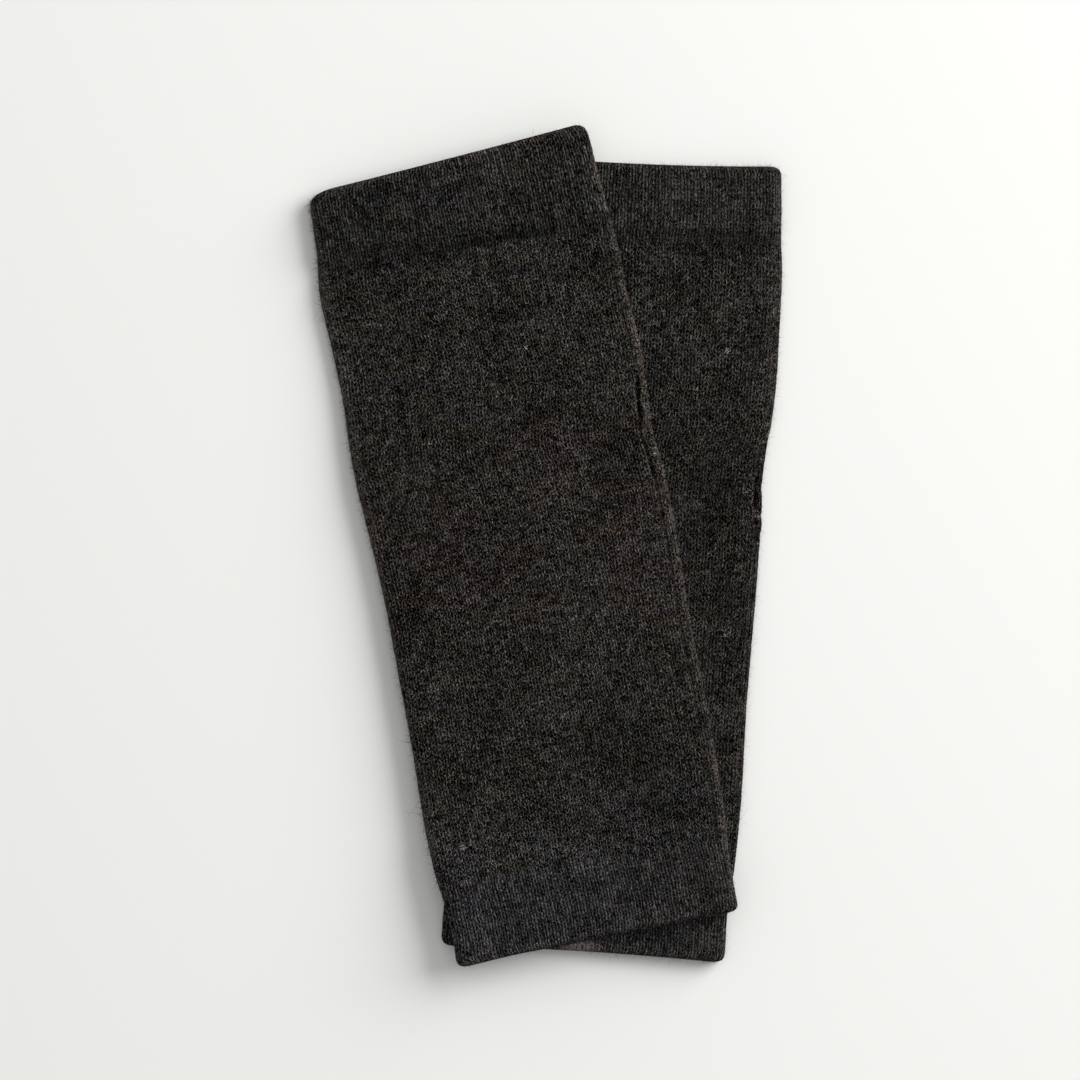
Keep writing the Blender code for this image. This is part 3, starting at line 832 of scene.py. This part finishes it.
cloths = {}
for warmer, dye, seed in ((LOWER, LOWER_DYE, 1), (UPPER, UPPER_DYE, 2)):
    piece = body(warmer, seed)
    piece.data.materials.append(wool(f"marled_wool_{warmer.name}_body", seed, dye, BODY_LEGS))
    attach(piece, "root")
    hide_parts(f"{warmer.name}_body")
    cloths[warmer.name] = [piece]

# ======== The hems ========
# At both ends of a body the same knitting goes on in a band twice as deep, turned in half to the inside and
# linked down, so the rim is a soft round fold of doubled cloth.

LINKED_WALL = 1.5  # the hem where its turned edge is linked to the body
HEM_RISE = 5.0  # length over which a hem thickens from its linked edge
CORNER = 3.0  # radius of a hem's corners, seen from above
CORNER_DEPTH = 0.7  # share of that radius by which the very rim is narrower
HEM_GRAIN = Grain(1.0911, 0.6786, 0.45, 0.3214, 0.3384, 0.3429, 0.6071)
HEM_LEGS = Legs(0.15, 0.33, 0.19, 1.4, 1.8, HEM_GRAIN)  # more upright than in the body
HEM_COURSES = 19  # from the linked edge to the turn
TURN_COURSES = 2.5  # round the turn
INNER_COURSES = (22.5, 25.0, 31.0, 40.0)  # rows of the turned-in layer
HEM_SEAM = 0.25  # depth of the seam's groove, and its width in wales

# A hem's end and yarn, how felted its rim is, with highlight painted where it curves away from the lamp, and
# how far in, and how far its back layer shows past the front.
Hem = namedtuple("Hem", "end dye felt reach slip")
FINGER_DYE = Dye(0.018, 0.0, 0.40, 0.028, 0.0, 0.08, 1.12, 1.19, WORN_AND_LIT_BROWN)
ARM_DYE = Dye(0.016, 0.0, 0.40, 0.028, 0.040, 0.06, 1.04, 1.12, (0.053, 0.048, 0.044))
FINGER_HEM = Hem("finger", FINGER_DYE, 0.6, 1.4, 0.0)
ARM_HEM = Hem("arm", ARM_DYE, 0.2, 2.5, 0.8)
SLIP_PLACE, SLIP_WIDTH = 9.0, 17.0  # a bell so far from the middle of the back, and so wide
SLIP_LEVEL = 0.125  # away from it the back layer stays behind by this share
SLIP_DEPTH = 9.0  # how far in from the rim it slips
GROOVE_COURSES = 1.5  # the grooves fade over so many courses of the turn


def hem(warmer, kind, link, rim_line, seed):
    """The hem's wall, a grid that closes both ways: out from the linked edge to the rim, round a half circle
    of the wall's thickness, and back inside. The wall thickens by a soft step from the linked edge, and the
    tube narrows at the rim by a circle's arc, which rounds the corners. The upper warmer's back layer slips
    by a bell round the tube, and less by a soft step away from the rim."""
    toward_rim = 1 if rim_line.left > link.left else -1
    start = shifted(link, toward_rim * LINK_GAP / 2)
    depth = abs(rim_line.left - start.left)
    turn_end = HEM_COURSES + TURN_COURSES
    turning = np.arange(HEM_COURSES + 0.25, turn_end, 0.5)
    courses = np.concatenate([[0.0], course_rows(HEM_COURSES), turning, INNER_COURSES])
    bend = HEM_WALL / 2
    angle = np.clip((courses - HEM_COURSES) / TURN_COURSES, 0, 1) * np.pi
    going = np.clip(courses / HEM_COURSES, 0, 1)
    coming = np.clip((courses - turn_end) / (INNER_COURSES[-1] - turn_end), 0, 1)
    distance = ((depth - bend) * (1 - going + coming) + bend * (1 - np.sin(angle)))[:, None]
    wall = LINKED_WALL + (HEM_WALL - LINKED_WALL) * smooth((depth - distance) / HEM_RISE)
    base = wall / 2 * (1 - np.cos(angle))[:, None]
    line = between(rim_line, start, distance / depth)
    radius = wall + INNER_GAP / 2
    narrow = CORNER_DEPTH * (CORNER - np.sqrt(CORNER**2 - np.clip(CORNER - distance, 0, CORNER) ** 2))
    around = girth(warmer, line, radius, narrow)
    wale = wale_columns(HEM_LEGS, courses, slice(None))
    course = courses[:, None] + 0 * wale
    place = warmer.seam + around * wale / WALES
    place = place + wobble(warmer, wale, line.right + 0 * wale)
    outside = (courses < turn_end)[:, None]
    relief = stitch_relief(HEM_LEGS, wale, course, seed)
    groove = GROOVE * (1 - relief) * (1 - smooth((course - turn_end + 1) / GROOVE_COURSES))
    seam_groove = HEM_SEAM * bell(np.minimum(wale, WALES - wale), HEM_SEAM)
    inset = groove + (crease(warmer, place / around, depth - distance, seed + 5) + seam_groove) * outside
    from_back = abs(np.mod(place - warmer.seam, around) - around * 0.75)
    slip = kind.slip * warmer.upper * (bell(from_back - SLIP_PLACE, SLIP_WIDTH) - SLIP_LEVEL)
    slip = toward_rim * slip * smooth((SLIP_DEPTH - distance) / SLIP_DEPTH)
    points, across, along, level = cloth(warmer, line, place, radius, base + inset, narrow, slip)

    last = courses[-1] + 1.0
    stops = [0.0, HEM_COURSES, turn_end, courses[-1], last]

    def bake(u, v, corner, start, size):
        """The front of the tube in the lower half, its back in the upper half."""
        half = np.floor(of_face(np.minimum, u, start, size) * 2 / WALES)
        return u * 2 / WALES - half, np.interp(v, stops, [0.0, 0.40, 0.46, 0.49, 0.4999]) + 0.5 * half

    marks = cloth_marks(warmer, across, along, level)
    # the rim's felt and painted highlight, which lightens the rim where it curves away from the lamp
    marks["rim"] = (marks["rim"] + kind.felt * bell(distance, kind.reach)) * outside
    faces = face_grid(np.arange(wale.size).reshape(wale.shape), closed_rows=True).tolist()
    name = f"{warmer.name}_{kind.end}_hem_cloth"
    return knit(name, points.reshape(-1, 3), faces, wale, course, marks, bake, float(WALES), last)


for warmer, seed in ((LOWER, 3), (UPPER, 5)):
    for kind, link, rim_line in (
        (FINGER_HEM, warmer.finger_link, warmer.finger_rim),
        (ARM_HEM, warmer.arm_link, warmer.arm_rim),
    ):
        piece = hem(warmer, kind, link, rim_line, seed)
        wool_name = f"marled_wool_{warmer.name}_{kind.end}_hem"
        piece.data.materials.append(wool(wool_name, seed, kind.dye, HEM_LEGS))
        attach(piece, "root")
        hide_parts(f"{warmer.name}_{kind.end}_hem")
        under = "table" if not warmer.upper else f"lower_{kind.end}_hem_cloth"
        cloths[warmer.name].append(piece)
        seed += 1

# ======== The loose fibres ========
# Wool sheds: the ends of its fibres stand off the cloth everywhere, and most on the rounded edges, where wear
# has brushed them up. They are fine tapered hairs, lighter than the yarn. A few tufts are pale lint.

FIBRES = 12400  # on each warmer
SHORTEST, LONGER = 0.5, 1.7  # a fibre's least length, and how much longer it may be
LONG_SHARE, LONG = 0.006, (3.0, 6.0)  # this share of them are long ones, of such lengths
FIBRE_RADIUS, THICKNESS = 0.022, (0.7, 1.3)  # and how many times as thick it may be
FIBRE_STEPS = np.array([0.0, 0.4, 0.75, 1.0])  # shares of the length at its three rings and its tip
FIBRE_TAPER = np.array([1.0, 0.85, 0.55])  # how thick it is at each ring, as a share of the root
SIDES_ROUND = 3
RINGS = len(FIBRE_TAPER)
TIP = RINGS * SIDES_ROUND  # number of a fibre's last point
RISE, FLATTER = (0.15, 0.8), 1.2  # how steeply it stands up, and from what length it lies flatter
FRINGE_RISE, FRINGE_THICKENS = (0.5, 1.1), 0.9  # on the upper warmer's left fold
BEND = 0.45
ROOT_DEPTH, OFF_TABLE = 0.05, 0.03  # its root is under the yarn's surface, and it stays above the table
CELLS = 112  # along each side of the map for baking
OUTER_FACE = 4e-6  # faces of the outside are smaller than this, in square metres
UNDERSIDE = -0.3  # normals that point down by more than this are underneath
COVERED = (46.5, 119.5)  # the other warmer lies within these distances of its own middle
# Fibres are more likely by so much for each width that their place is past a start.
Crowd = namedtuple("Crowd", "start width more")
SIDES, ENDS = Crowd(40, 5, 2.5), Crowd(115, 3, 2.5)
THUMB_FOLD, LEFT_FOLD = Crowd(39, 5, 2.5), Crowd(41, 2, 20)  # on the upper warmer
SPARSE, FEWER = 0.25, 0.4  # how likely they are elsewhere, and the share of them underneath
LINT_FIBRES, LINT_LENGTH = 26, 0.5  # in a tuft of lint, half as long as others
UNTURNED, LOOKS_UP = 9.0, 0.1  # a face whose normal rises by less counts as so much further from a tuft
FRINGE_START = 0.1  # past the start of the left fold's crowd
Lint = namedtuple("Lint", "across along pale")  # the paler a tuft is, the smaller, thicker and denser
LINT = {
    "upper": listed(
        Lint,
        (43.3, 34.3, 1.0), (42.9, 31.2, 1.0), (43.6, 20.6, 1.0), (44.4, 14.6, 1.0),
        (12.0, 57.3, 2.2), (-33.0, -82.8, 1.7),
    ),
    "lower": listed(
        Lint,
        (38.8, 21.6, 1.0), (41.6, 15.6, 1.0), (43.0, 14.8, 1.0), (43.5, 37.4, 1.0),
        (43.7, 41.0, 1.0), (35.3, -19.6, 1.0), (30.3, 62.3, 1.7),
    ),
}


def past(values, crowd):
    """How far values are past a start, in widths."""
    return np.maximum(values - crowd.start, 0) / crowd.width


def face_values(pieces, name, numbers):
    """One property of all the pieces' faces."""
    together = []
    for piece in pieces:
        values = np.empty(numbers * len(piece.data.polygons))
        piece.data.polygons.foreach_get(name, values)
        together.append(values.reshape(-1, numbers))
    return np.concatenate(together)


def fibre_faces(warmer, pieces):
    """Middles, normals and own places of the faces outside the cloth, how likely a fibre is to grow on each,
    and how near the left fold it is. Fibres are many at the edges, fewer underneath, and none between the
    two warmers."""
    outer = face_values(pieces, "area", 1)[:, 0] < OUTER_FACE
    centre = face_values(pieces, "center", 3)[outer]
    normal = face_values(pieces, "normal", 3)[outer]
    other = LOWER if warmer.upper else UPPER
    across, along = to_own(other, centre[:, 0] / MM, centre[:, 1] / MM)
    shared = (abs(across) < COVERED[0]) & (abs(along) < COVERED[1])
    underneath = normal[:, 2] < UNDERSIDE
    hidden = shared & (underneath if warmer.upper else True)
    across, along = to_own(warmer, centre[:, 0] / MM, centre[:, 1] / MM)
    left_side = past(-across, LEFT_FOLD)
    folds = THUMB_FOLD.more * past(across, THUMB_FOLD) + LEFT_FOLD.more * left_side
    weight = SPARSE + SIDES.more * past(abs(across), SIDES) + ENDS.more * past(abs(along), ENDS)
    weight = np.where(hidden, 0, (weight + folds * warmer.upper) * np.where(underneath, FEWER, 1))
    return centre, normal, across, along, weight, left_side


def unit(vectors):
    """Vectors of length 1."""
    return vectors / np.linalg.norm(vectors, axis=1, keepdims=True)


def fibres(warmer, pieces, seed):
    """Hairs rooted in the middles of random faces, and tufts of lint in those nearest to a place. Each runs
    out along the face's normal and leans sideways, and bends by the square of the length gone: three
    shrinking triangles and a tip."""
    rng = np.random.default_rng(seed)
    centre, normal, across, along, weight, left_side = fibre_faces(warmer, pieces)
    tufts = []
    for lint in LINT[warmer.name]:
        away = np.hypot(across - lint.across, along - lint.along) + UNTURNED * (normal[:, 2] < LOOKS_UP)
        tufts.append(np.resize(np.argsort(away)[: int(LINT_FIBRES / lint.pale**2)], LINT_FIBRES))
    tufts = np.concatenate(tufts)
    spread = rng.choice(len(centre), FIBRES - len(tufts), replace=False, p=weight / weight.sum())
    chosen = np.append(spread, tufts)
    pale = np.append(np.zeros(len(spread)), np.repeat([lint.pale for lint in LINT[warmer.name]], LINT_FIBRES))
    root = centre[chosen]
    out = normal[chosen]
    length = SHORTEST + LONGER * rng.random(FIBRES) ** 2
    length = np.where(rng.random(FIBRES) < LONG_SHARE, rng.uniform(*LONG, FIBRES), length)
    length = np.where(pale > 0, LINT_LENGTH * length / np.maximum(pale, 1), length)[:, None] * MM
    lean = rng.normal(size=(FIBRES, 3))
    lean = unit(lean - (lean * out).sum(axis=1, keepdims=True) * out)
    flatter = np.minimum(1, FLATTER * MM / length)
    rise = rng.uniform(*RISE, (FIBRES, 1)) * flatter
    fringe = (left_side[chosen] > FRINGE_START)[:, None] & warmer.upper
    rise = np.where(fringe, rng.uniform(*FRINGE_RISE, (FIBRES, 1)) * flatter, rise)
    bend = rng.normal(size=(FIBRES, 3)) * BEND
    steps = FIBRE_STEPS[None, :, None]
    straight = (out * rise + lean)[:, None] * steps
    spine = root[:, None] + length[:, None] * (straight + bend[:, None] * steps**2)
    spine -= (out * ROOT_DEPTH * MM)[:, None]
    spine[..., 2] = np.maximum(spine[..., 2], OFF_TABLE * MM)
    forward = unit(spine[:, -1] - spine[:, 0])
    right = unit(np.cross(forward, out))
    up = np.cross(right, forward)
    turn = np.arange(SIDES_ROUND) * 2 * np.pi / SIDES_ROUND
    thick = FIBRE_RADIUS * MM * rng.uniform(*THICKNESS, (FIBRES, 1, 1, 1)) * FIBRE_TAPER[None, :, None, None]
    thick = thick * (1 + pale[:, None] + FRINGE_THICKENS * fringe)[:, :, None, None]
    circle = np.cos(turn)[None, :, None] * right[:, None] + np.sin(turn)[None, :, None] * up[:, None]
    rings = spine[:, :RINGS, None] + thick * circle[:, None]
    points = np.hstack([rings.reshape(FIBRES, TIP, 3), spine[:, RINGS:]])

    # One fibre's triangles and, for their corners, places in its cell of the map: a row for each ring.
    one = []
    cell = []
    for ring in range(RINGS):
        for side in range(SIDES_ROUND):
            a = SIDES_ROUND * ring + side
            b = SIDES_ROUND * ring + (side + 1) % SIDES_ROUND
            low, high = 0.1 + 0.3 * ring, 0.4 + 0.3 * ring
            if ring < RINGS - 1:
                one += [(a, b, b + SIDES_ROUND), (a, b + SIDES_ROUND, a + SIDES_ROUND)]
                cell += [[(side, low), (side + 1, low), (side + 1, high)]]
                cell += [[(side, low), (side + 1, high), (side, high)]]
            else:
                one.append((a, b, TIP))
                cell.append([(side, low), (side + 1, low), (side + 0.5, high)])
    one.append((2, 1, 0))
    cell.append([(0, 0), (3, 0), (1.5, 0.08)])
    cell = np.array(cell) * [1 / SIDES_ROUND, 1.0] * 0.9 + 0.05
    triangles = (np.array(one)[None] + (TIP + 1) * np.arange(FIBRES)[:, None, None]).reshape(-1, 3)
    mesh = bpy.data.meshes.new(f"{warmer.name}_loose_fibres")
    mesh.from_pydata(points.reshape(-1, 3), [], triangles.tolist())
    number = np.arange(FIBRES)
    corner = np.stack([number % CELLS, number // CELLS], axis=1)[:, None, None]
    lay_out(mesh, "OFBake", *((cell[None] + corner) / CELLS).reshape(-1, 2).T)
    mark_points(mesh, "pale", np.repeat(pale, TIP + 1))
    return placed(mesh.name, mesh)


def fibre_wool(name):
    """Single fibres, from dark brown to pale grey, by soft noise over the object. Lint is the palest."""
    material, shader, start = new_material(name, {"Roughness": 0.7, "Specular IOR Level": 0.3})
    shade = start.node("TexCoord", {}, {}, output=3).noise(900.0, 1.0) + 0.3 * start.mark("pale")
    stops = [
        (0.35, (0.05, 0.04, 0.033)),
        (0.55, (0.12, 0.10, 0.085)),
        (0.72, (0.30, 0.27, 0.24)),
        (1.0, (0.60, 0.58, 0.55)),
    ]
    start.node("ValToRGB", {"stops": stops}, {0: shade}).into(shader["Base Color"])
    return material


for warmer, seed in ((LOWER, 71), (UPPER, 72)):
    piece = fibres(warmer, cloths[warmer.name], seed)
    piece.data.materials.append(fibre_wool(f"wool_fibres_{warmer.name}"))
    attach(piece, "root")
    under = "table" if not warmer.upper else "lower_body_cloth"

# ======== The table, the light and the camera ========
# A plain pale table, a broad lamp low on the right, a faint one above, and a camera looking straight down.

HALF_TABLE = 1.5  # metres
table_mesh = bpy.data.meshes.new("table")
table_corners = [(x * HALF_TABLE, y * HALF_TABLE, 0) for x, y in ((-1, -1), (1, -1), (1, 1), (-1, 1))]
table_mesh.from_pydata(table_corners, [], [(0, 1, 2, 3)])
table = placed("table", table_mesh)
TABLE_CONSTANTS = {"Base Color": (0.80, 0.805, 0.785, 1.0), "Roughness": 0.9, "Specular IOR Level": 0.1}
table_mesh.materials.append(new_material("white_table", TABLE_CONSTANTS)[0])


def lamp(name, azimuth, elevation, distance, size, power, colour):
    """A square lamp at this distance that faces the middle of the table."""
    data = bpy.data.lights.new(name, "AREA")
    data.shape = "SQUARE"
    data.size = size
    data.energy = power
    data.color = colour
    turn, rise = np.radians([azimuth, elevation])
    place = distance * Vector((np.cos(rise) * np.cos(turn), np.cos(rise) * np.sin(turn), np.sin(rise)))
    facing = (-place).to_track_quat("-Z", "Y").to_matrix().to_4x4()
    placed(name, data).matrix_world = Matrix.Translation(place) @ facing


lamp("key_lamp", 30, 28, 2.2, 1.7, 72.0, (1.0, 0.995, 0.985))
lamp("top_lamp", 100, 75, 2.2, 2.0, 5.0, (1.0, 1.0, 1.0))
world = bpy.data.worlds.new("room")
world.use_nodes = True
world.node_tree.nodes["Background"].inputs["Color"].default_value = (1.0, 1.0, 1.0, 1.0)
world.node_tree.nodes["Background"].inputs["Strength"].default_value = 0.45
bpy.context.scene.world = world
bpy.context.scene.view_settings.view_transform = "Standard"

camera_data = bpy.data.cameras.new("camera")
camera_data.lens = 341.2
camera_data.sensor_width = 36.0
camera = placed("camera", camera_data)
camera.location = (-1.75 * MM, 1.6 * MM, 3.0)
bpy.context.scene.camera = camera
